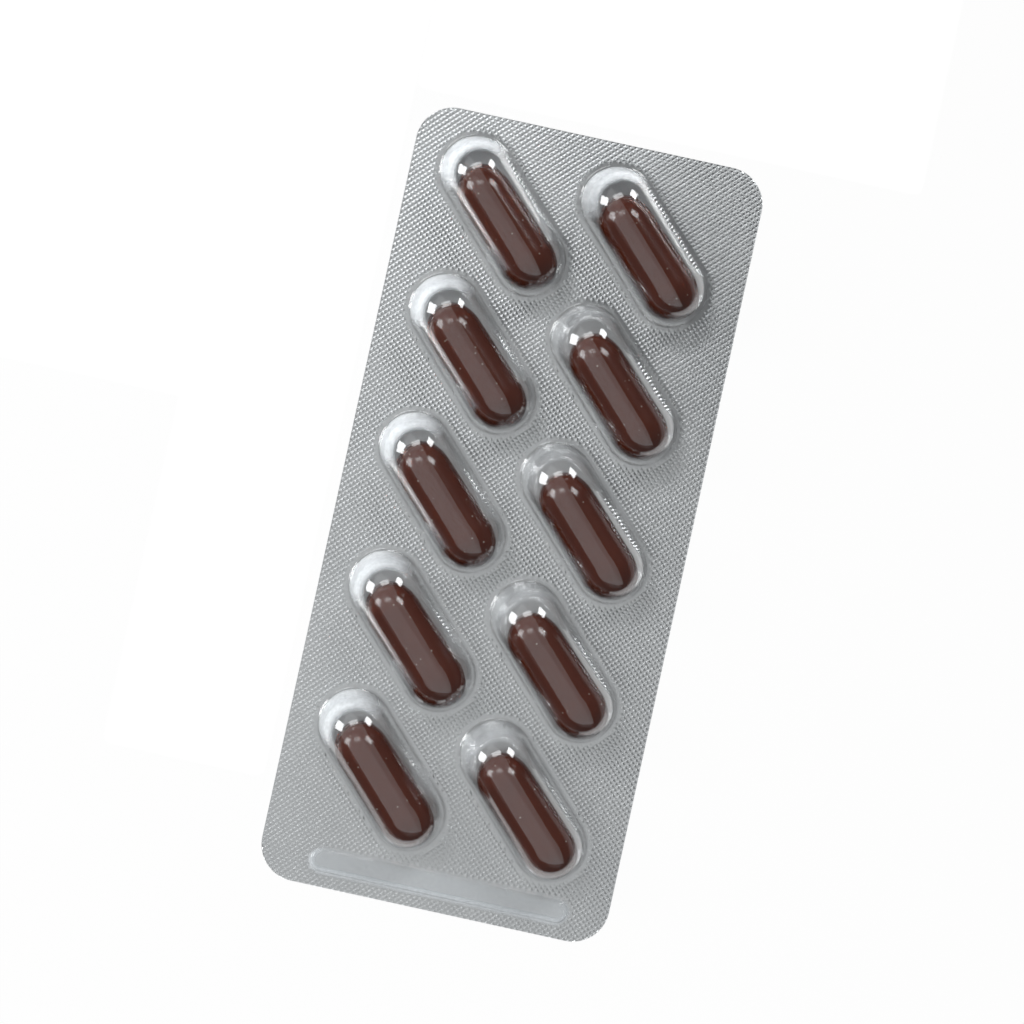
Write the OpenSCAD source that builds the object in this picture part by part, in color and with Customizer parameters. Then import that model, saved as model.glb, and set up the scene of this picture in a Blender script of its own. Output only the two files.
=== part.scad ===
// Blister pack of oblong soft capsules: a clear formed film with slanted pockets in columns
// and rows, a thin foil sealed under it, and one capsule lying in each pocket.
// Sizes are in millimetres. The origin is under the middle of the card, +Z points up through
// the pockets, and +Y points away from the end with the blank code strip.

/* [Capsules] */
// Length of a capsule from end to end
capsule_length = 23.8; // [20:0.2:28]
// Diameter of a capsule's body
capsule_width = 9.24; // [7:0.02:11]
// How much longer each rounded end is than a half ball
end_stretch = 1; // [0.2:0.1:1.6]
// How much wider the shoulder's arc is than the body's radius
shoulder_extra = 2.9; // [2.6:0.1:6]
// Gap between a capsule and the foil that it lies on
rest_gap = 0.05; // [0.02:0.01:0.2]

/* [Layout] */
// Number of columns of pockets
columns = 2; // [1:1:4]
// Number of rows of pockets
rows = 5; // [1:1:6]
// Slant of the pockets, down to the right from a level row
slant = 46.5; // [35:0.5:55]
// Flat film between the rims of two pockets in a column
land_in_column = 3.22; // [1.5:0.02:8]
// Flat film between the rims of two pockets in a row
land_in_row = 4.45; // [1.5:0.05:10]
// Flat film left of the first column's rims
margin_left = 4.6; // [2:0.05:10]
// Flat film right of the last column's rims
margin_right = 5.6; // [2:0.05:10]
// Flat film above the first row's rims
margin_top = 3.4; // [2:0.05:10]
// Radius of the card's corners
corner_radius = 6.3; // [1:0.1:8]

/* [Pockets] */
// Free play between a capsule and its pocket, at each side
side_clearance = 0.98; // [0.7:0.02:2]
// Free play between a capsule and its pocket, at each end
end_clearance = 2.45; // [1.5:0.05:4]
// Free space above a capsule
top_clearance = 1; // [0.4:0.1:3]
// Lean of the pocket walls, which lets the film leave its mould
draft = 4; // [1:0.5:12]
// Radius of the bend where a pocket's wall meets the flat film
flare_radius = 0.56; // [0.3:0.02:1.2]

/* [Film and foil] */
// Thickness of the film where it is flat
film_thickness = 0.25; // [0.15:0.01:0.5]
// Thickness of the film in the pockets, where forming has thinned it
pocket_thickness = 0.2; // [0.1:0.01:0.5]
// Thickness of the foil
foil_thickness = 0.03; // [0.02:0.01:0.1]

/* [Code strip] */
// Height of the blank code strip across the lower end
code_height = 3.7; // [2:0.1:8]
// How far the strip stands up from the flat film
code_rise = 0.3; // [0.1:0.05:1]
// Flat film between the lowest rims and the code strip
code_gap_above = 2.3; // [1:0.1:8]
// Flat film between the code strip and the card's lower edge
code_gap_below = 2.65; // [1:0.05:8]
// Flat film left of the code strip
code_gap_left = 8.8; // [6:0.1:12]
// Flat film right of the code strip
code_gap_right = 6.9; // [6:0.1:12]

/* [Hidden] */
$fn = 120;
softgel_names = [for (i = [1 : columns * rows]) str("softgel_", i < 10 ? "0" : "", i)];

// capsule: the body is a cylinder, and each end is a nose arc that runs tangent into a
// wider shoulder arc, which runs tangent into the body
capsule_radius = capsule_width / 2;
end_length = capsule_radius + end_stretch;
body_half = capsule_length / 2 - end_length;
nose_drop = end_stretch * end_stretch / (2 * (shoulder_extra - end_stretch));
nose_radius = capsule_radius - nose_drop;
nose_centre = body_half + end_stretch + nose_drop;
nose_join = nose_centre + nose_radius * (end_stretch + nose_drop) / (shoulder_extra + nose_drop);
capsule_axis_z = foil_thickness + rest_gap + capsule_radius;

// how the capsules lie: the gap left at the lower end of each pocket and at its lower side,
// and each capsule's turn from its pocket's slant, in the order of the pockets
end_gaps = [0.12, 0.1, 0.14, 0.12, 0.2, 0.1, 0.12, 0.1, 0.16, 0.12];
side_gaps = [0.36, 0.36, 0.42, 0.4, 0.44, 0.44, 0.38, 0.38, 0.36, 0.36];
turns = [2, 2.2, 1.7, 1.2, 1.5, 0.8, 2.2, 2.2, 1.5, 2.1];

// pocket: a dome over leaning walls, with a bend at the foot
film_top = foil_thickness + film_thickness;
dome_inner = capsule_radius + side_clearance;
dome_outer = dome_inner + pocket_thickness;
dome_z = capsule_axis_z + capsule_radius + top_clearance - dome_inner;
flare_inner = flare_radius + film_thickness;
straight_half = capsule_length / 2 + end_clearance - dome_inner;
rim_radius = foot_reach(dome_outer, flare_radius, film_top);

// layout: the lands are measured square to the pockets, between their rims
reach_x = straight_half * cos(slant) + rim_radius;
reach_y = straight_half * sin(slant) + rim_radius;
column_pitch = (2 * rim_radius + land_in_row) / sin(slant);
row_pitch = (2 * rim_radius + land_in_column) / cos(slant);
code_band = code_gap_above + code_height + code_gap_below;
card_width = margin_left + 2 * reach_x + (columns - 1) * column_pitch + margin_right;
card_length = margin_top + 2 * reach_y + (rows - 1) * row_pitch + code_band;
first_x = -card_width / 2 + margin_left + reach_x;
first_y = card_length / 2 - margin_top - reach_y;
code_length = card_width - code_gap_left - code_gap_right;
code_x = (code_gap_left - code_gap_right) / 2;
code_y = -card_length / 2 + code_gap_below + code_height / 2;

// how far a pocket's bend reaches at its foot, from the pocket's middle line
function foot_reach(dome, flare, foot) =
    (dome + flare + (dome_z - foot - flare) * sin(draft)) / cos(draft);

// puts its children in pocket number i, counted along the rows from the top, with +X along
// the pocket towards its lower end
module at_pocket(i) {
    column = i % columns;
    row = floor(i / columns);
    translate([first_x + column * column_pitch, first_y - row * row_pitch, 0])
        rotate([0, 0, -slant])
            children();
}

// right half of a pocket's cross-section, over a foot plane that it reaches below by sink
module pocket_half_section(dome, flare, foot, sink) {
    reach = foot_reach(dome, flare, foot);
    crown_start = dome_z + dome * sin(draft);
    difference() {
        polygon([
            [0, foot - sink],
            [reach, foot - sink],
            [reach, foot + flare],
            [reach - flare * cos(draft), foot + flare - flare * sin(draft)],
            [dome * cos(draft), crown_start],
            [0, crown_start]
        ]);
        translate([reach, foot + flare]) circle(flare);
    }
    intersection() {
        translate([0, dome_z]) circle(dome);
        translate([0, crown_start]) square(dome);
    }
}

// a pocket's form: the cross-section drawn along the straight middle and turned round each end
module pocket_form(dome, flare, foot, sink) {
    translate([-straight_half, 0, 0]) rotate([90, 0, 90]) linear_extrude(2 * straight_half) {
        pocket_half_section(dome, flare, foot, sink);
        mirror([1, 0]) pocket_half_section(dome, flare, foot, sink);
    }
    for (end = [0, 1]) mirror([end, 0, 0]) translate([straight_half, 0, 0])
        rotate([0, 0, -90]) rotate_extrude(angle = 180)
            pocket_half_section(dome, flare, foot, sink);
}

// the card's outline, shared by the film and the foil
module card_outline() {
    square([card_width - 2 * corner_radius, card_length], center = true);
    square([card_width, card_length - 2 * corner_radius], center = true);
    for (x = [-1, 1], y = [-1, 1])
        translate([x * (card_width / 2 - corner_radius), y * (card_length / 2 - corner_radius)])
            circle(corner_radius);
}

// the code strip's outline, a bar with round ends, drawn in by inset all round
module code_outline(inset) {
    radius = code_height / 2 - inset;
    half = code_length / 2 - code_height / 2;
    translate([code_x, code_y]) {
        square([2 * half, 2 * radius], center = true);
        for (x = [-1, 1]) translate([x * half, 0]) circle(radius);
    }
}

// clear film, formed in one piece with its pockets and code strip
module forming_film() {
    color([0.8, 0.84, 0.88, 0.35]) difference() {
        union() {
            translate([0, 0, foil_thickness]) linear_extrude(film_thickness) card_outline();
            for (i = [0 : columns * rows - 1]) at_pocket(i)
                pocket_form(dome_outer, flare_radius, film_top, film_thickness / 2);
            translate([0, 0, film_top - film_thickness / 2])
                linear_extrude(code_rise + film_thickness / 2) code_outline(0);
        }
        for (i = [0 : columns * rows - 1]) at_pocket(i)
            pocket_form(dome_inner, flare_inner, foil_thickness, film_thickness);
        linear_extrude(foil_thickness + code_rise) code_outline(film_thickness);
    }
}

// foil sealed under the film
module lidding_foil() {
    color([0.78, 0.79, 0.8]) linear_extrude(foil_thickness) card_outline();
}

// half of a capsule's outline, from its middle up to one end, right of its axis
module capsule_half_section() {
    square([capsule_radius, body_half]);
    intersection() {
        translate([-shoulder_extra, body_half]) circle(capsule_radius + shoulder_extra);
        translate([0, body_half]) square([capsule_radius, nose_join - body_half]);
    }
    intersection() {
        translate([0, nose_centre]) circle(nose_radius);
        translate([0, nose_join]) square(nose_radius);
    }
}

// soft capsule number i, slid and turned a little in its pocket
module softgel(i) {
    slide = end_clearance - end_gaps[i % len(end_gaps)];
    shift = side_clearance - side_gaps[i % len(side_gaps)];
    color([0.23, 0.12, 0.08]) at_pocket(i) translate([slide, -shift, capsule_axis_z])
        rotate([0, 0, turns[i % len(turns)]]) rotate([0, 90, 0]) rotate_extrude() {
            capsule_half_section();
            mirror([0, 1]) capsule_half_section();
        }
}

forming_film();
lidding_foil();
for (i = [0 : columns * rows - 1])
    softgel(i);
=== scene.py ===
# %% [markdown]
# A blister strip of ten oblong soft capsules, seen almost straight from above. The strip is a clear
# formed film sealed to a thin foil, so nearly everything that the eye sees is gloss: film over
# foil, film over capsule. Each cell below makes one piece or one finish, and says why that way.
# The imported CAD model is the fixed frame. Lengths are in millimetres here until a mesh is made.

# %% The frame and its box
import math

import bpy
import numpy as np
from mathutils import Matrix, Vector


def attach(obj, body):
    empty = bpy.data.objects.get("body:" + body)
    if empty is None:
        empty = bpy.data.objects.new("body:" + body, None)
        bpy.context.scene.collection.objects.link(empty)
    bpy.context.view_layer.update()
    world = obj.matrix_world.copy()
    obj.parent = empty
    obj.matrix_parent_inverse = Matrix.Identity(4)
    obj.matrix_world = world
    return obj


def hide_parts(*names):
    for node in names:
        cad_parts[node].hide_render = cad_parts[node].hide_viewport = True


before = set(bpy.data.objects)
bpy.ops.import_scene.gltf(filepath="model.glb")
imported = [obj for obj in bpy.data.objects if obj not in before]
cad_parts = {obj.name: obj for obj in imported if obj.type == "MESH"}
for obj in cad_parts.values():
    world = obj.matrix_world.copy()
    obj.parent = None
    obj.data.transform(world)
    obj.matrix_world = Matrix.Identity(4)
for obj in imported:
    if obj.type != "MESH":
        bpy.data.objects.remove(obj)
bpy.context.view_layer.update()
scene = bpy.context.scene

# %% [markdown]
# The camera stands about 55 cm above the strip, a little off the vertical, and the strip lies
# turned by about 12 degrees in the picture. A long lens keeps all the pockets nearly alike. The
# camera is made from its viewing direction and its up direction, whose cross product is the
# picture's right side. Setting a matrix is exact, where a tracking constraint would be rounded.

# %% Camera
EYE = Vector((3.10, -10.39, 549.31))
VIEW = Vector((-0.00655, 0.02231, -0.99973)).normalized()
UP = Vector((-0.21382, 0.97660, 0.02319)).normalized()
LENS = 113.95
SENSOR = 36.0

picture_right = VIEW.cross(UP).normalized()
picture_up = picture_right.cross(VIEW).normalized()
camera_data = bpy.data.cameras.new("camera")
camera_data.lens = LENS
camera_data.sensor_width = SENSOR
camera_data.clip_start = 0.01
camera_data.clip_end = 20.0
camera = bpy.data.objects.new("camera", camera_data)
camera_turn = Matrix((picture_right, picture_up, -VIEW)).transposed()
camera.matrix_world = Matrix.Translation(EYE / 1000) @ camera_turn.to_4x4()
scene.collection.objects.link(camera)
scene.camera = camera
print("camera at", [round(v, 2) for v in EYE], "mm, lens", LENS, "mm")

# %% [markdown]
# The layout repeats the sizes of the CAD source, so that every surface lies where its solid does.
# A pocket is a stadium in plan: a straight middle with a half circle at each end. Everything
# about a pocket can then be said with two numbers, the place s along it and the place t across it.

# %% Layout
CARD = np.array([60.0, 133.996])
CORNER = 6.3
SLANT = math.radians(46.5)
ALONG = np.array([math.cos(SLANT), -math.sin(SLANT)])
ACROSS = np.array([math.sin(SLANT), math.cos(SLANT)])
FOIL = 0.03
FILM = 0.25
POCKET_WALL = 0.20
CAPSULE_RADIUS = 4.62
CAPSULE_HALF = 11.9
CAPSULE_LIFT = 0.05
CAPSULE_AXIS = FOIL + CAPSULE_LIFT + CAPSULE_RADIUS
SIDE_PLAY = 0.98
END_PLAY = 2.45
TOP_PLAY = 1.0
DRAFT = math.radians(4)
FLARE = 0.56
DOME = CAPSULE_RADIUS + SIDE_PLAY + POCKET_WALL
DOME_Z = CAPSULE_AXIS + CAPSULE_RADIUS + TOP_PLAY - (DOME - POCKET_WALL)
STRAIGHT = CAPSULE_HALF + END_PLAY - (DOME - POCKET_WALL)
CROWN = 10.52
COLUMN_LAND = 4.45
ROW_LAND = 3.22
SIDE_LAND = 4.6
END_LAND = 3.4


def foot_reach(dome, flare, foot):
    """Reach of a pocket's foot from its middle line: the dome's and the bend's radii, and the
    height between their centres times the sine of the draft, all over the draft's cosine."""
    return (dome + flare + (DOME_Z - foot - flare) * math.sin(DRAFT)) / math.cos(DRAFT)


RIM = foot_reach(DOME, FLARE, FOIL + FILM)
COLUMN_PITCH = (2 * RIM + COLUMN_LAND) / math.sin(SLANT)
ROW_PITCH = (2 * RIM + ROW_LAND) / math.cos(SLANT)
FIRST = np.array([-CARD[0] / 2 + SIDE_LAND + STRAIGHT * math.cos(SLANT) + RIM,
                  CARD[1] / 2 - END_LAND - STRAIGHT * math.sin(SLANT) - RIM])
pocket_number = np.arange(10)
POCKETS = FIRST + np.stack([(pocket_number % 2) * COLUMN_PITCH,
                            -(pocket_number // 2) * ROW_PITCH], 1)
CODE = np.array([0.95, -62.5])
CODE_ALONG = np.array([1.0, 0.0])
CODE_HALF = 20.3
CODE_RADIUS = 1.85
CODE_RISE = 0.3
print("pocket pitch", round(COLUMN_PITCH, 2), "by", round(ROW_PITCH, 2), "mm, rim", round(RIM, 2))

# %% [markdown]
# Meshes are filled from whole arrays. One helper takes points in millimetres and triangles, drops
# the triangles that have shrunk to a line, welds points that meet, and marks which faces are
# smooth. Welding closes the seams and poles, so each piece is one closed skin.

# %% Mesh helper
MM = 0.001


def weld(points, faces):
    """Joins points that agree to a ten-thousandth of a millimetre, and drops the triangles that
    then have two corners in common. Returns the kept points' and triangles' places too."""
    key, first, back = np.unique(np.round(points, 4), axis=0, return_index=True,
                                 return_inverse=True)
    tri = back.reshape(-1)[faces]
    keep = (tri[:, 0] != tri[:, 1]) & (tri[:, 1] != tri[:, 2]) & (tri[:, 2] != tri[:, 0])
    return first, tri[keep], keep


def add_piece(name, points, faces, flat=None, glare=None):
    """Makes a mesh object at the origin from points in millimetres and triangles. flat marks the
    triangles that keep hard edges, and the last argument is a value per point for the finish to
    read: how much diffuse white is painted there as a painted reflection."""
    first, faces, keep = weld(points, faces)
    points = points[first]
    mesh = bpy.data.meshes.new(name)
    mesh.from_pydata((points * MM).tolist(), [], faces.tolist())
    smooth = np.ones(len(faces), bool) if flat is None else ~flat[keep]
    mesh.polygons.foreach_set("use_smooth", smooth)
    if glare is not None:
        mesh.attributes.new("glare", "FLOAT", "POINT").data.foreach_set("value", glare[first])
    mesh.update()
    piece = bpy.data.objects.new(name, mesh)
    scene.collection.objects.link(piece)
    print(name, len(points), "points", len(faces), "triangles")
    return piece


# %% [markdown]
# The sealing roller leaves a pattern of small square pyramids, turned by 45 degrees, on the flat
# web. Its lines are 0.72 mm apart. A grid of 118 by 263 cells has a node on every tip and every
# valley crossing, and cutting each cell along its two valley nodes gives the pyramids' four
# faces with the fewest triangles. The faces stay flat-shaded, because a smooth normal would
# average to straight up at every node. Round the pockets and the code strip the web is smooth.

# %% Web grid
GRID = (118, 263)
KNURL = 0.045
SMOOTH_LAND = 0.05
LAND_FADE = 0.5
CODE_LAND = 0.2
CODE_FADE = 0.4


def place_on(x, y, middle, along):
    """The place s along a stadium's direction and the place t across it: the offset from its
    middle times the direction, and times the direction turned by a right angle."""
    s = (x - middle[0]) * along[0] + (y - middle[1]) * along[1]
    t = -(x - middle[0]) * along[1] + (y - middle[1]) * along[0]
    return s, t


def stadium_distance(x, y, middle, along, half):
    """Distance of points in plan from a straight piece of line: the part of s beyond its half
    length and the place t across it are the two sides of a right angle."""
    s, t = place_on(x, y, middle, along)
    return np.hypot(np.maximum(np.abs(s) - half, 0), t)


def rim_distance(x, y):
    """Distance in plan from the nearest pocket's rim, less than nothing inside it."""
    return np.min([stadium_distance(x, y, p, ALONG, STRAIGHT) for p in POCKETS], axis=0) - RIM


def code_distance(x, y):
    """Distance in plan from the outline of the code strip."""
    return stadium_distance(x, y, CODE, CODE_ALONG, CODE_HALF) - CODE_RADIUS


def fade(value, start, length):
    """A smooth step from nothing at start to one at start plus length."""
    u = np.clip((value - start) / length, 0, 1)
    return u * u * (3 - 2 * u)


def web_level(x, y, tip):
    """Height of the foil's upper side: a middle level, and the pyramids, which go from minus to
    plus the knurl's half height and fade out towards rims and code strip."""
    mask = fade(rim_distance(x, y), SMOOTH_LAND, LAND_FADE)
    mask = mask * fade(code_distance(x, y), CODE_LAND, CODE_FADE)
    return FOIL + KNURL + mask * (KNURL * np.where(tip, 1.0, -1.0))


def card_grid():
    """Nodes and triangles of the card's plan. Nodes beyond a corner's arc are drawn in onto it,
    and triangles that lie wholly beyond it are left out."""
    nx, ny = GRID
    i, j = np.meshgrid(np.arange(nx + 1), np.arange(ny + 1), indexing="ij")
    x = (i / nx - 0.5) * CARD[0]
    y = (j / ny - 0.5) * CARD[1]
    tip = (i + j) % 2 == 1
    a = (i * (ny + 1) + j)[:-1, :-1].ravel()
    b, c, d = a + ny + 1, a + ny + 2, a + 1
    valley_first = ~tip[:-1, :-1].ravel()[:, None]
    one = np.where(valley_first, np.stack([a, b, c], 1), np.stack([a, b, d], 1))
    two = np.where(valley_first, np.stack([a, c, d], 1), np.stack([b, c, d], 1))
    x, y, tip = x.ravel(), y.ravel(), tip.ravel()
    cx = np.maximum(np.abs(x) - (CARD[0] / 2 - CORNER), 0) * np.sign(x)
    cy = np.maximum(np.abs(y) - (CARD[1] / 2 - CORNER), 0) * np.sign(y)
    reach = np.hypot(cx, cy)
    outside = (np.abs(cx) > 0) & (np.abs(cy) > 0) & (reach > CORNER)
    pull = np.where(outside, CORNER / np.maximum(reach, 1e-9), 1.0)
    x = x - cx + cx * pull
    y = y - cy + cy * pull
    faces = np.concatenate([one, two])
    return x, y, tip, faces[~outside[faces].all(1)]


grid_x, grid_y, grid_tip, grid_faces = card_grid()
print("web grid", len(grid_x), "nodes", len(grid_faces), "triangles")


def open_edges(faces):
    """Edges that only one triangle has, as pairs of nodes in that triangle's direction."""
    edges = np.concatenate([faces[:, [0, 1]], faces[:, [1, 2]], faces[:, [2, 0]]])
    _, first, count = np.unique(np.sort(edges, 1), axis=0, return_index=True, return_counts=True)
    return edges[first[count == 1]]


def close_edge(upper, lower, faces):
    """Turns two sheets with the same triangles into one closed skin: the lower one's triangles
    are reversed, and each open edge gets a wall of two triangles. Nodes without a triangle are
    left out, and the places of the others are returned too."""
    used, place = np.unique(faces, return_inverse=True)
    faces = place.reshape(faces.shape)
    n = len(used)
    rim = open_edges(faces)
    wall = np.concatenate([np.stack([rim[:, 1], rim[:, 0], rim[:, 0] + n], 1),
                           np.stack([rim[:, 1], rim[:, 0] + n, rim[:, 1] + n], 1)])
    points = np.concatenate([upper[used], lower[used]])
    return points, np.concatenate([faces, faces[:, ::-1] + n, wall]), used


# %% [markdown]
# The foil is hard aluminium, thinner than a hair is wide, and takes the roller's pattern on both
# sides. Two copies of the grid, one foil thickness apart, give it, with a wall round the edge.
# Under the pockets nothing pressed it, so it stays smooth there.

# %% Foil
foil_top = web_level(grid_x, grid_y, grid_tip)
foil_upper = np.stack([grid_x, grid_y, foil_top], 1)
foil_points, foil_faces, _ = close_edge(foil_upper, foil_upper - [0, 0, FOIL], grid_faces)
foil = add_piece("foil_sheet", foil_points, foil_faces, np.ones(len(foil_faces), bool))

# %% [markdown]
# The film starts as the same web grid, a hair above the foil, with a hole where each pocket and
# the code strip rise. Each of these is a stack of stadium rings that follows a profile: out of
# the flat web over a small bend, up the leaning wall and over the dome, until the last ring
# closes on the middle line. The hole's stepped edge is joined to the first ring by walking round
# both at once. The edge's own order comes from pointer jumping: every node knows its follower,
# and doubling those jumps a few times tells each node how far it is from the end.

# %% Rings and joins
RING_STRAIGHT = 14
RING_END = 52
RING_COUNT = 2 * (RING_STRAIGHT + RING_END)
FINE_PLEATS = 21
COARSE_PLEATS = 13


def ring_plan(middle, along, far, near, radius, pleat=0.0):
    """Points of one stadium ring in plan, counter-clockwise: s runs along the right side, round
    the far end, back along the other side and round the near end, where the radius wavers by the
    pleat times a sum of two sines of the turn, less and less towards the sides."""
    across = np.array([-along[1], along[0]])
    out = np.linspace(-near, far, RING_STRAIGHT, endpoint=False)
    back = np.linspace(far, -near, RING_STRAIGHT, endpoint=False)
    turn = np.linspace(-math.pi / 2, math.pi / 2, RING_END, endpoint=False)
    side = np.full(RING_STRAIGHT, radius)
    folds = np.sin(FINE_PLEATS * turn) + 0.6 * np.sin(COARSE_PLEATS * turn + 1)
    waver = radius + pleat * np.cos(turn) ** 0.5 * folds
    plan_s = np.concatenate([out, far + radius * np.cos(turn), back, -near - waver * np.cos(turn)])
    plan_t = np.concatenate([-side, radius * np.sin(turn), side, -waver * np.sin(turn)])
    return middle + plan_s[:, None] * along + plan_t[:, None] * across


def ring_place(x, y, middle, along, half):
    """Place of points round a stadium, as the angle seen from its middle after its straight part
    is squeezed, so that it grows steadily along any ring."""
    s, t = place_on(x, y, middle, along)
    inner = np.clip(s, -half, half)
    turn = np.arctan2(t, s - inner)
    right = (t < 0) & (np.abs(s) < half)
    left = (t >= 0) & (np.abs(s) < half)
    place = np.where(s >= half, turn, 0.0)
    place = np.where(left, math.pi / 2 + (half - s) / (2 * half), place)
    wrapped = np.mod(turn, 2 * math.pi)
    place = np.where(s <= -half, 1.0 + wrapped, place)
    place = np.where(right, 1.0 + 1.5 * math.pi + (s + half) / (2 * half), place)
    return np.mod(place, 2 * math.pi + 2.0)


def walk(edges):
    """Nodes of one closed loop of directed edges, in walking order. The steps left to the loop's
    end are summed by doubling each node's jump until all jumps end there."""
    nodes = np.unique(edges)
    following = np.empty(len(nodes), int)
    following[np.searchsorted(nodes, edges[:, 0])] = np.searchsorted(nodes, edges[:, 1])
    last = np.flatnonzero(following == 0)[0]
    steps = np.ones(len(nodes), int)
    steps[last] = 0
    following[last] = last
    for _ in range(math.ceil(math.log2(len(nodes))) + 1):
        steps = steps + steps[following]
        following = following[following]
    return nodes[np.argsort(-steps)]


def join_rows(outer, outer_place, inner, inner_place):
    """Triangles between two closed rows of nodes, both going round the same way: each step along
    the outer row takes the inner node reached so far as its third corner, and the other way
    round. The order of all places says which node is reached when. The outer row keeps its own
    order, and a place that falls back is raised to the one before."""
    start = int(np.argmin(outer_place))
    a = np.roll(outer, -start)
    pa = np.maximum.accumulate(np.roll(outer_place, -start))
    b = inner[np.argsort(inner_place)]
    pb = np.sort(inner_place)
    reached_b = np.searchsorted(pb, pa) - 1
    reached_a = np.searchsorted(pa, pb, side="right") - 1
    a_steps = np.stack([a[np.arange(len(a)) - 1], a, b[reached_b]], 1)
    b_steps = np.stack([b, b[np.arange(len(b)) - 1], a[reached_a]], 1)
    return np.concatenate([a_steps, b_steps])


def stack_faces(rings, count, first):
    """Triangles of a stack of closed rings of count points each, numbered from first."""
    ring = np.arange(rings - 1)[:, None] * count
    k = np.arange(count)[None, :]
    a = first + ring + k
    b = first + ring + (k + 1) % count
    a, b = a.ravel(), b.ravel()
    return np.concatenate([np.stack([a, b, b + count], 1), np.stack([a, b + count, a + count], 1)])


# %% [markdown]
# A pocket's section has three parts: the bend at its foot, a quarter circle that ends where the
# wall leans by the draft; the straight wall; and the dome, a circle from the draft up to the
# crown. Near the crown the ends are drawn out a little, because the film sags where it was
# stretched last, so that the top of each end is longer than a ball. The upper end's wall leans
# inward by a millimetre, and fine pleats run up it, where the film gathered as it cooled. Outer
# and inner side use the same formula with their own radii, and the difference is the film's
# real thickness.

# %% Pocket profile
BEND_STEPS = 5
WALL_STEPS = 2
DOME_STEPS = 13
END_DRAW = 1.75
END_LEAN = 1.0
PLEAT = 0.018
CODE_SIDE = np.array([0.12, 0.02, -0.10, -0.25])
CODE_TOP = np.array([0.6, 0.3, 0.0])
CODE_CLIMB = np.array([0.0, 0.25, 0.85, 1.0, 1.0, 1.0, 1.0])


def pocket_profile(dome, flare, foot):
    """Radius and height of each ring, from the foot to the crown, how far its ends are drawn in,
    which grows as the radius shrinks, and how far up the leaning wall it lies, from 0 to 1."""
    reach = foot_reach(dome, flare, foot)
    bend = np.linspace(-math.pi / 2, -math.pi + DRAFT, BEND_STEPS)
    wall = np.linspace(0, 1, WALL_STEPS + 2)[1:-1]
    arc = np.linspace(DRAFT, math.pi / 2, DOME_STEPS)
    bend_r = reach + flare * np.cos(bend)
    bend_z = foot + flare + flare * np.sin(bend)
    arc_r = dome * np.cos(arc)
    arc_z = DOME_Z + dome * np.sin(arc)
    arc_r[-1] = 0.0
    wall_r = bend_r[-1] + (arc_r[0] - bend_r[-1]) * wall
    wall_z = bend_z[-1] + (arc_z[0] - bend_z[-1]) * wall
    radius = np.concatenate([bend_r, wall_r, arc_r])
    height = np.concatenate([bend_z, wall_z, arc_z])
    draw = END_DRAW * np.clip(1 - radius / dome, 0, 1)
    return radius, height, draw, np.clip((height - foot) / (DOME_Z - foot), 0, 1)


def code_profile(inset, foot, top):
    """Radius and height of the code strip's rings: a short sloping side, a set step from its
    edge, and a flat top that closes on the middle line in shares of that edge's radius."""
    edge = CODE_RADIUS - inset
    radius = np.concatenate([edge + CODE_SIDE, edge * CODE_TOP])
    return radius, foot + CODE_CLIMB * (top - foot)


# %% [markdown]
# Diffuse white is painted on the film round each pocket's upper end, more on some pockets than on
# others, and on the sloping side of the code strip. It is a painted reflection that stands in for
# the bright crescents of light seen there. A value per point records how much, because it follows
# the surface wherever that goes, and the film's finish reads it.

# %% Painted reflection at the ends
# How much painted reflection, as diffuse white, each pocket's upper end gets.
PAINTED_GLARE = [0.55, 0.5, 0.55, 0.15, 0.55, 0.15, 0.5, 0.18, 0.5, 0.22]
GLARE_SPREAD = 1.7
GLARE_FOOT = (0.45, 0.5)
GLARE_SHOULDER = (8.1, 0.9)
# Painted highlight on the code strip: diffuse white, a little on its top and more on its lower
# sloping side.
CODE_GLARE = 0.20
CODE_SIDE_GLARE = 0.55
CODE_GLARE_INSET = 0.45
CODE_GLARE_FADE = 0.3


def glare_ring(level, height):
    """How much painted reflection one ring's points get: most at the near end's tip, less with the
    cosine of the turn towards the sides, and none at the foot or above the dome's shoulder."""
    turn = np.linspace(-math.pi / 2, math.pi / 2, RING_END, endpoint=False)
    tip = np.clip(GLARE_SPREAD * np.cos(turn), 0, 1)
    wall = fade(height, *GLARE_FOOT) * (1.0 - fade(height, *GLARE_SHOULDER))
    return level * wall * np.concatenate([np.zeros(RING_COUNT - RING_END), tip])


def glare_code(radius):
    """How much painted reflection one ring of the code strip gets, as diffuse white: a little on
    its flat top, and much more where its side slopes down, from the left end along the lower edge,
    as a painted highlight."""
    down = np.linspace(1.0, 0.0, RING_END)
    low = np.concatenate([np.ones(RING_STRAIGHT), down, np.zeros(RING_STRAIGHT), 1.0 - down])
    slope = fade(radius, CODE_RADIUS - CODE_GLARE_INSET, CODE_GLARE_FADE)
    return CODE_GLARE + CODE_SIDE_GLARE * slope * low


# %% [markdown]
# One function makes either side of the film, with the same rings and the same triangles for
# both. The outer side's pyramids are flatter, because the roller pressed the foil and the film
# only gave way. The grid's holes are a little wider than the pockets' feet, so that the joining
# triangles have room.

# %% Sides of the film
FILM_LIFT = 0.01
FILM_RELIEF = 0.7
POCKET_GAP = 0.15
CODE_GAP = 0.3
HOLE_REACH = 1.3


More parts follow.
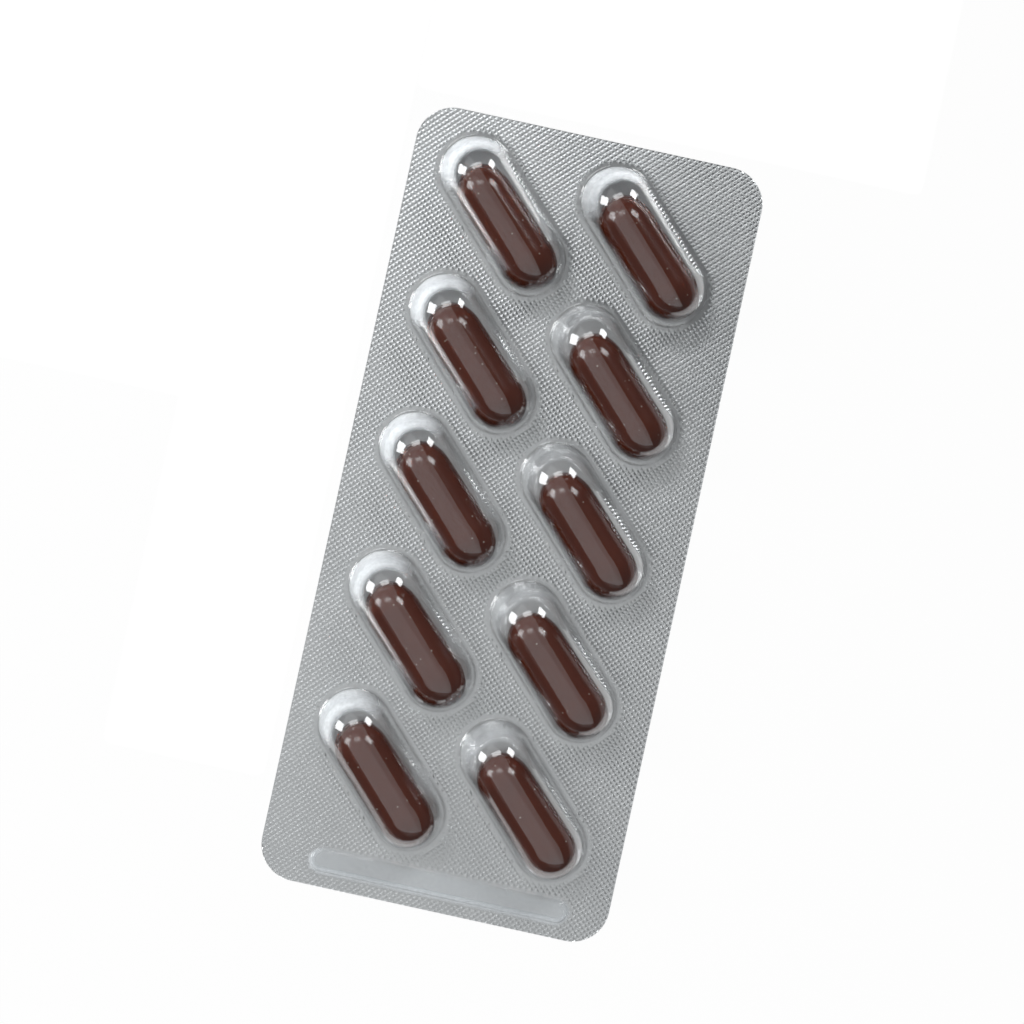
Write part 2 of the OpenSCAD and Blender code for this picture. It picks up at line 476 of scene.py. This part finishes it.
def pocket_rings(number, outer):
    """One pocket's rings in plan, their heights and how much painted reflection their points get.
    The heights are raised by the film's lift at the foot, less and less towards the crown."""
    size = (DOME, FLARE) if outer else (DOME - POCKET_WALL, FLARE + FILM)
    radius, height, draw, up = pocket_profile(*size, FOIL + FILM if outer else FOIL)
    height = height + (KNURL + FILM_LIFT) * np.clip(1 - height / CROWN, 0, 1)
    lean = END_LEAN * up
    pleat = PLEAT * up * np.clip(radius / DOME, 0, 1)
    rings = [ring_plan(POCKETS[number], ALONG, STRAIGHT - d, STRAIGHT - d - n, r, p)
             for r, d, n, p in zip(radius, draw, lean, pleat)]
    return rings, height, [glare_ring(PAINTED_GLARE[number], h) for h in height]


def code_rings(outer, base):
    """The code strip's rings in plan, their heights and how much painted reflection their points
    get.
    """
    radius, height = code_profile(0 if outer else FILM, base, base + CODE_RISE)
    rings = [ring_plan(CODE, CODE_ALONG, CODE_HALF, CODE_HALF, r) for r in radius]
    return rings, height, [glare_code(r) for r in radius]


def film_sheet(outer):
    """Points of the film's outer or inner side, its triangles, which are the same for both, how
    many of them are web, and how much painted reflection each point gets. The web's height is the
    foil's, its relief scaled, plus the lift."""
    lift = FILM_LIFT + (FILM if outer else 0.0)
    relief = FILM_RELIEF if outer else 1.0
    level = FOIL + KNURL + (foil_top - FOIL - KNURL) * relief + lift
    points = [np.stack([grid_x, grid_y, level], 1)]
    glare = [np.zeros(len(grid_x))]
    off_pockets = rim_distance(grid_x, grid_y) > POCKET_GAP
    keep = off_pockets & (code_distance(grid_x, grid_y) > CODE_GAP)
    web = grid_faces[keep[grid_faces].all(1)]
    edges = open_edges(web)
    start = edges[:, 0]
    faces = [web]
    first = len(grid_x)
    shapes = [(middle, ALONG, STRAIGHT, RIM, pocket_rings(number, outer))
              for number, middle in enumerate(POCKETS)]
    code = code_rings(outer, FOIL + KNURL + lift)
    shapes.append((CODE, CODE_ALONG, CODE_HALF, CODE_RADIUS, code))
    for middle, along, half, reach, (rings, height, glare_amount) in shapes:
        points += [np.column_stack([ring, np.full(RING_COUNT, h)])
                   for ring, h in zip(rings, height)]
        glare += glare_amount
        faces.append(stack_faces(len(rings), RING_COUNT, first))
        near = stadium_distance(grid_x[start], grid_y[start], middle, along, half)
        hole = walk(edges[near < reach + HOLE_REACH])[::-1]
        hole_place = ring_place(grid_x[hole], grid_y[hole], middle, along, half)
        own_place = ring_place(rings[0][:, 0], rings[0][:, 1], middle, along, half)
        faces.append(join_rows(hole, hole_place, first + np.arange(RING_COUNT), own_place))
        first += RING_COUNT * len(rings)
    return np.concatenate(points), np.concatenate(faces), len(web), np.concatenate(glare)


# %% [markdown]
# The outer side is welded first, so that its crowns have no open seam that would get a wall. The
# inner side keeps the same points, and both are closed at the edge like the foil. Web and edge
# are flat-shaded, and the pockets are smooth.

# %% Film
film_outer, film_faces, web_count, film_glare = film_sheet(True)
film_inner = film_sheet(False)[0]
kept_points, film_faces, kept_faces = weld(film_outer, film_faces)
film_outer, film_inner = film_outer[kept_points], film_inner[kept_points]
film_glare = film_glare[kept_points]
web_count = int(kept_faces[:web_count].sum())
film_points, film_all, used = close_edge(film_outer, film_inner, film_faces)
is_web = np.zeros(len(film_all), bool)
is_web[:web_count] = True
is_web[len(film_faces):len(film_faces) + web_count] = True
is_web[2 * len(film_faces):] = True
# The film carries the per-point value of painted reflection for its finish to read.
film = add_piece("formed_film", film_points, film_all, is_web, np.tile(film_glare[used], 2))

# %% [markdown]
# A softgel is moulded from two ribbons of gelatin that close round the filling. Its outline is a
# straight body, a wide shoulder arc that runs on from it, and a nose arc that runs on from the
# shoulder. The surface is that outline turned about the capsule's axis: a function of the place
# along the outline and the turn. Each capsule lies on the foil, slid down its pocket.

# %% Softgels
STRETCH = 1.0
SHOULDER = 2.9
BODY_HALF = CAPSULE_HALF - CAPSULE_RADIUS - STRETCH
NOSE_DROP = STRETCH ** 2 / (2 * (SHOULDER - STRETCH))
NOSE_RADIUS = CAPSULE_RADIUS - NOSE_DROP
NOSE_CENTRE = BODY_HALF + STRETCH + NOSE_DROP
NOSE_STEPS = 20
SHOULDER_STEPS = 8
BODY_STEPS = 14
TURN_STEPS = 72
END_GAPS = [0.12, 0.1, 0.14, 0.12, 0.2, 0.1, 0.12, 0.1, 0.16, 0.12]
SIDE_GAPS = [0.36, 0.36, 0.42, 0.4, 0.44, 0.44, 0.38, 0.38, 0.36, 0.36]
TURNS = [2, 2.2, 1.7, 1.2, 1.5, 0.8, 2.2, 2.2, 1.5, 2.1]


def capsule_outline():
    """Distance along the axis and radius of the outline, from one tip to the other: a nose arc,
    a shoulder arc, the straight body and the same again mirrored."""
    join = math.atan2(SHOULDER + NOSE_DROP, STRETCH + NOSE_DROP)
    nose = np.linspace(0, join, NOSE_STEPS)
    shoulder = np.linspace(join, math.pi / 2, SHOULDER_STEPS)[1:]
    far = np.concatenate([NOSE_CENTRE + NOSE_RADIUS * np.cos(nose),
                          BODY_HALF + (CAPSULE_RADIUS + SHOULDER) * np.cos(shoulder)])
    near = np.concatenate([NOSE_RADIUS * np.sin(nose),
                           (CAPSULE_RADIUS + SHOULDER) * np.sin(shoulder) - SHOULDER])
    body = np.linspace(BODY_HALF, -BODY_HALF, BODY_STEPS)[1:-1]
    x = np.concatenate([far, body, -far[::-1]])
    r = np.concatenate([near, np.full(len(body), CAPSULE_RADIUS), near[::-1]])
    r[0] = r[-1] = 0.0
    return x, r


def capsule_surface(index):
    """The outline turned about the axis: the radius times the turn's cosine and sine gives the
    place across and the height. Then it is turned by the slant and moved to its place."""
    x, r = capsule_outline()
    turn = np.linspace(0, 2 * math.pi, TURN_STEPS, endpoint=False)
    ring_x = np.repeat(x, TURN_STEPS)
    ring_y = np.outer(r, np.cos(turn)).ravel()
    ring_z = np.outer(r, np.sin(turn)).ravel()
    angle = math.radians(TURNS[index]) - SLANT
    slide = END_PLAY - END_GAPS[index]
    shift = SIDE_PLAY - SIDE_GAPS[index]
    middle = POCKETS[index] + slide * ALONG - shift * ACROSS
    px = middle[0] + ring_x * math.cos(angle) - ring_y * math.sin(angle)
    py = middle[1] + ring_x * math.sin(angle) + ring_y * math.cos(angle)
    faces = stack_faces(len(x), TURN_STEPS, 0)[:, ::-1]
    return np.stack([px, py, CAPSULE_AXIS + ring_z], 1), faces


softgels = []
for index in range(len(POCKETS)):
    points, faces = capsule_surface(index)
    softgels.append(add_piece(f"capsule_{index + 1:02d}", points, faces))

# %% [markdown]
# Shader maths reads best as sums and products. A small class wraps a socket, and an expression
# on wrapped sockets adds the Math nodes that work it out.

# %% Shader helper


class Socket:
    """A node socket on which Python's operators add Math nodes."""

    def __init__(self, sheet, socket):
        self.sheet = sheet
        self.socket = socket

    def _math(self, operation, *values):
        return self.sheet.node("ShaderNodeMath", {"operation": operation},
                               {i: v for i, v in enumerate(values)})

    def __add__(self, other):
        return self._math("ADD", self, other)

    def __radd__(self, other):
        return self._math("ADD", other, self)

    def __sub__(self, other):
        return self._math("SUBTRACT", self, other)

    def __rsub__(self, other):
        return self._math("SUBTRACT", other, self)

    def __mul__(self, other):
        return self._math("MULTIPLY", self, other)

    def __rmul__(self, other):
        return self._math("MULTIPLY", other, self)

    def __pow__(self, other):
        return self._math("POWER", self, other)

    def __rpow__(self, other):
        return self._math("POWER", other, self)

    def clamp(self):
        """The value kept between nothing and one."""
        return self.sheet.node("ShaderNodeClamp", {}, {"Value": self})


class Finish:
    """A material and its node sheet."""

    def __init__(self, name):
        self.material = bpy.data.materials.new(name)
        self.material.use_nodes = True
        self.tree = self.material.node_tree
        self.tree.nodes.clear()

    def node(self, kind, settings=None, inputs=None, output=0):
        """Adds any node from its type, its settings, and the values or links of its inputs, and
        gives back the output with the given number."""
        made = self.tree.nodes.new(kind)
        for key, value in (settings or {}).items():
            setattr(made, key, value)
        for key, value in (inputs or {}).items():
            if isinstance(value, Socket):
                self.tree.links.new(value.socket, made.inputs[key])
            else:
                made.inputs[key].default_value = value
        return Socket(self, made.outputs[output]) if made.outputs else made

    def place(self):
        """Object coordinates, in metres."""
        return self.node("ShaderNodeTexCoord", output=3)

    def noise(self, scale, detail=2.0):
        """A noise of the place, from about 0 to 1, with scale in turns per metre."""
        return self.node("ShaderNodeTexNoise", {}, {"Vector": self.place(), "Scale": scale,
                                                    "Detail": detail})

    def cells(self, scale, output):
        """A pattern of cells: output 0 is the distance from a cell's middle, and output 1 a
        value that the whole cell shares."""
        return self.node("ShaderNodeTexVoronoi", {}, {"Vector": self.place(), "Scale": scale},
                         output)

    def blend(self, factor, low, high):
        """A colour that goes from low to high as the factor goes from 0 to 1."""
        return self.node("ShaderNodeMix", {"data_type": "RGBA"}, {0: factor, 6: low, 7: high},
                         output=2)

    def end(self, shader):
        """Links the shader to the material's output."""
        self.node("ShaderNodeOutputMaterial", {}, {"Surface": shader})
        return self.material


def dress(piece, node_names, material):
    """Gives a piece its material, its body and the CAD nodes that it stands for."""
    piece.data.materials.clear()
    piece.data.materials.append(material)
    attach(piece, "root")
    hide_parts(*node_names)


# %% [markdown]
# The foil is bare metal with a lacquer haze. Its reflection does nearly all the work, so the
# base colour stays a light grey, and the roughness wanders a little, as a worn roller leaves it.

# %% Foil finish
finish = Finish("aluminium foil")
cloud = finish.noise(90.0, 3.0)
rough = 0.27 + 0.12 * cloud
grain = finish.node("ShaderNodeBump", {}, {"Strength": 0.25, "Distance": 0.00003,
                                           "Height": finish.noise(2600.0)})
tone = finish.blend(cloud, (0.62, 0.62, 0.62, 1), (0.73, 0.725, 0.72, 1))
metal = finish.node("ShaderNodeBsdfPrincipled", {}, {"Base Color": tone, "Metallic": 1.0,
                                                     "Roughness": rough, "Normal": grain})
dress(foil, ["lidding_foil"], finish.end(metal))

# %% [markdown]
# The film is clear and hardly thicker than paper, so light goes nearly straight through it and
# bends nowhere. A mix of a transparent and a glossy shader is that film, at a fraction of the noise
# of true glass. How much each surface reflects depends on the angle: a few hundredths when seen
# square on, all of it when seen edge on, and in between a power of how far it has turned away.
# Where the per-point value says, diffuse white is mixed in, in streaks: a painted reflection for
# the bright crescents at the domes' ends and the code strip's lower edge.

# %% Film finish
FILM_GLOSS = 0.045
EDGE_POWER = 2.6
finish = Finish("clear film")
facing = finish.node("ShaderNodeLayerWeight", {}, {"Blend": 0.5}, output=1)
share = FILM_GLOSS + (1.0 - FILM_GLOSS) * (facing ** EDGE_POWER)
through = finish.node("ShaderNodeBsdfTransparent", {}, {"Color": (0.965, 0.975, 0.98, 1)})
gloss = finish.node("ShaderNodeBsdfAnisotropic", {}, {"Color": (1, 1, 1, 1), "Roughness": 0.05})
clear = finish.node("ShaderNodeMixShader", {}, {0: share.clamp(), 1: through, 2: gloss})
# Painted reflection: diffuse white mixed in by the per-point value, in streaks.
glare = finish.node("ShaderNodeAttribute", {"attribute_name": "glare"}, {}, 2)
glare_amount = (glare * (0.7 + 0.6 * finish.noise(1500.0))).clamp()
white = finish.node("ShaderNodeBsdfDiffuse", {}, {"Color": (0.86, 0.90, 0.93, 1)})
film_with_glare = finish.node("ShaderNodeMixShader", {}, {0: glare_amount, 1: clear, 2: white})
dress(film, ["forming_film"], finish.end(film_with_glare))

# %% [markdown]
# The capsules are dark brown gelatin. The colour sits deep, under a wet gloss, so a dark base
# carries a clear coat. A slow noise makes the filling look a little uneven, and pale specks of
# dust lie in the middle of some cells of a fine cell pattern.

# %% Softgel finish
SPECK_CELLS = 800.0
SPECK_RADIUS = 0.13
SPECK_RARITY = 0.55
finish = Finish("brown gelatin")
cloud = finish.noise(260.0, 3.0)
tone = finish.blend(cloud, (0.088, 0.0165, 0.0070, 1), (0.116, 0.0235, 0.0100, 1))
near_middle = ((SPECK_RADIUS - finish.cells(SPECK_CELLS, 0)) * 25.0).clamp()
chosen = ((finish.cells(SPECK_CELLS, 1) - SPECK_RARITY) * 12.0).clamp()
tone = finish.blend(near_middle * chosen, tone, (0.42, 0.34, 0.29, 1))
ripple = finish.node("ShaderNodeBump", {}, {"Strength": 0.15, "Distance": 0.0001,
                                            "Height": finish.noise(420.0)})
gelatin = finish.node("ShaderNodeBsdfPrincipled", {}, {
    "Base Color": tone, "Roughness": 0.22, "IOR": 1.5, "Normal": ripple, "Specular IOR Level": 0.2,
    "Coat Weight": 1.0, "Coat Roughness": 0.10, "Coat IOR": 1.45})
brown = finish.end(gelatin)
for index, capsule in enumerate(softgels):
    dress(capsule, [f"softgel_{index + 1:02d}"], brown)
print("finishes:", [m.name for m in bpy.data.materials if m.users])

# %% [markdown]
# The strip lies on a white table. For the camera, and less for glossy rays, the table is mostly
# plain white of strength 1, so the picture's ground is white at any lamp level. The rest is lit
# as usual, and keeps the strip's soft shadow. The table lies a hair below the foil, so that the
# two never share a plane.

# %% Table
WHITE_SHARE = 0.955
MIRROR_SHARE = 0.6
TABLE_HALF = 1.6
TABLE_HEIGHT = -0.00002
finish = Finish("white table")
path = finish.node("ShaderNodeLightPath")
seen = path.socket.node.outputs
straight = (Socket(finish, seen["Is Camera Ray"]) * WHITE_SHARE
            + Socket(finish, seen["Is Glossy Ray"]) * MIRROR_SHARE
            + Socket(finish, seen["Is Transmission Ray"]) * MIRROR_SHARE).clamp()
chalk = finish.node("ShaderNodeBsdfDiffuse", {}, {"Color": (0.86, 0.86, 0.86, 1)})
plain = finish.node("ShaderNodeEmission", {}, {"Color": (1, 1, 1, 1), "Strength": 1.0})
ground = finish.node("ShaderNodeMixShader", {}, {0: straight, 1: chalk, 2: plain})
table_mesh = bpy.data.meshes.new("table")
corners = [(x * TABLE_HALF, y * TABLE_HALF, TABLE_HEIGHT)
           for x, y in ((-1, -1), (1, -1), (1, 1), (-1, 1))]
table_mesh.from_pydata(corners, [], [(0, 1, 2, 3)])
table = bpy.data.objects.new("table", table_mesh)
scene.collection.objects.link(table)
table_mesh.materials.append(finish.end(ground))

# %% [markdown]
# The highlights say where the lamps stand. A square shines at the upper end of every pocket on
# its left and on its right, so two softboxes stand there. A leaning sheet of light overhead
# draws the soft band along each capsule. Low lamps with narrow beams put pools of light on the
# table beside the strip, and the domes' ends mirror them as pale crescents. Places are given as
# picture right, picture up and towards the camera.

# %% Lamps
POOL_SPREAD = math.radians(12)
POOL_HEIGHT = 0.012


def seen_at(right, up, towards):
    """A place from its parts along the picture's right, its up side and towards the camera."""
    return picture_right * right + picture_up * up - VIEW * towards


def add_light(name, width, height, power, place):
    """A rectangular lamp of the given power in watts, at a place matrix."""
    data = bpy.data.lights.new(name, "AREA")
    data.shape = "RECTANGLE"
    data.size, data.size_y = width, height
    data.energy = power
    lamp = bpy.data.objects.new(name, data)
    lamp.matrix_world = place
    scene.collection.objects.link(lamp)
    return lamp


def facing_matrix(side, axis, middle):
    """Place of a lamp whose width runs along side and whose back looks along axis."""
    turn = Matrix((side, axis.cross(side), axis)).transposed().to_4x4()
    return Matrix.Translation(middle) @ turn


def add_lamp(name, direction, distance, width, height, radiance):
    """A flat lamp that looks at the strip's middle. A square metre of radiance L gives pi times L
    watts, so power is pi times radiance times area."""
    axis = seen_at(*direction).normalized()
    side = Vector((0, 0, 1)).cross(axis).normalized()
    power = math.pi * radiance * width * height
    add_light(name, width, height, power, facing_matrix(side, axis, axis * distance))


def add_sheet(name, near, far, length, radiance):
    """A leaning sheet of light, stretched from its near edge's middle to its far edge's, both in
    metres. Its lit side looks down."""
    low, high = seen_at(*near), seen_at(*far)
    span = high - low
    side = span.normalized()
    axis = side.cross(side.cross(VIEW)).normalized()
    power = math.pi * radiance * span.length * length
    add_light(name, span.length, length, power, facing_matrix(side, axis, (low + high) / 2))


def add_pool(name, middle, size, power):
    """A pool of light on the table beside the strip, from a low lamp with a narrow beam, with its
    middle and size in millimetres."""
    place = Matrix.Translation((middle[0] * MM, middle[1] * MM, POOL_HEIGHT))
    lamp = add_light(name, size[0] * MM, size[1] * MM, power, place)
    lamp.data.spread = POOL_SPREAD


add_lamp("left softbox", (-0.82, 0.36, 0.44), 1.4, 0.58, 0.58, 9.0)
add_lamp("right softbox", (0.46, 0.69, 0.56), 1.5, 0.50, 0.50, 10.0)
add_lamp("top panel", (-0.25, 0.62, 0.74), 1.5, 0.60, 0.30, 4.0)
add_sheet("overhead panel", (0.05, 0.02, 0.17), (-0.62, -0.38, 0.62), 1.1, 0.58)
add_pool("left pool", (-132, 130), (198, 240), 1.0)
add_pool("edge pool", (-46, -20), (26, 60), 0.034)
add_pool("upper pool", (12, 160), (86, 180), 0.30)

world = bpy.data.worlds.new("studio")
scene.world = world
world.use_nodes = True
sky = world.node_tree.nodes["Background"].inputs
sky["Color"].default_value = (0.97, 0.98, 1.0, 1)
sky["Strength"].default_value = 0.08
scene.view_settings.view_transform = "Standard"
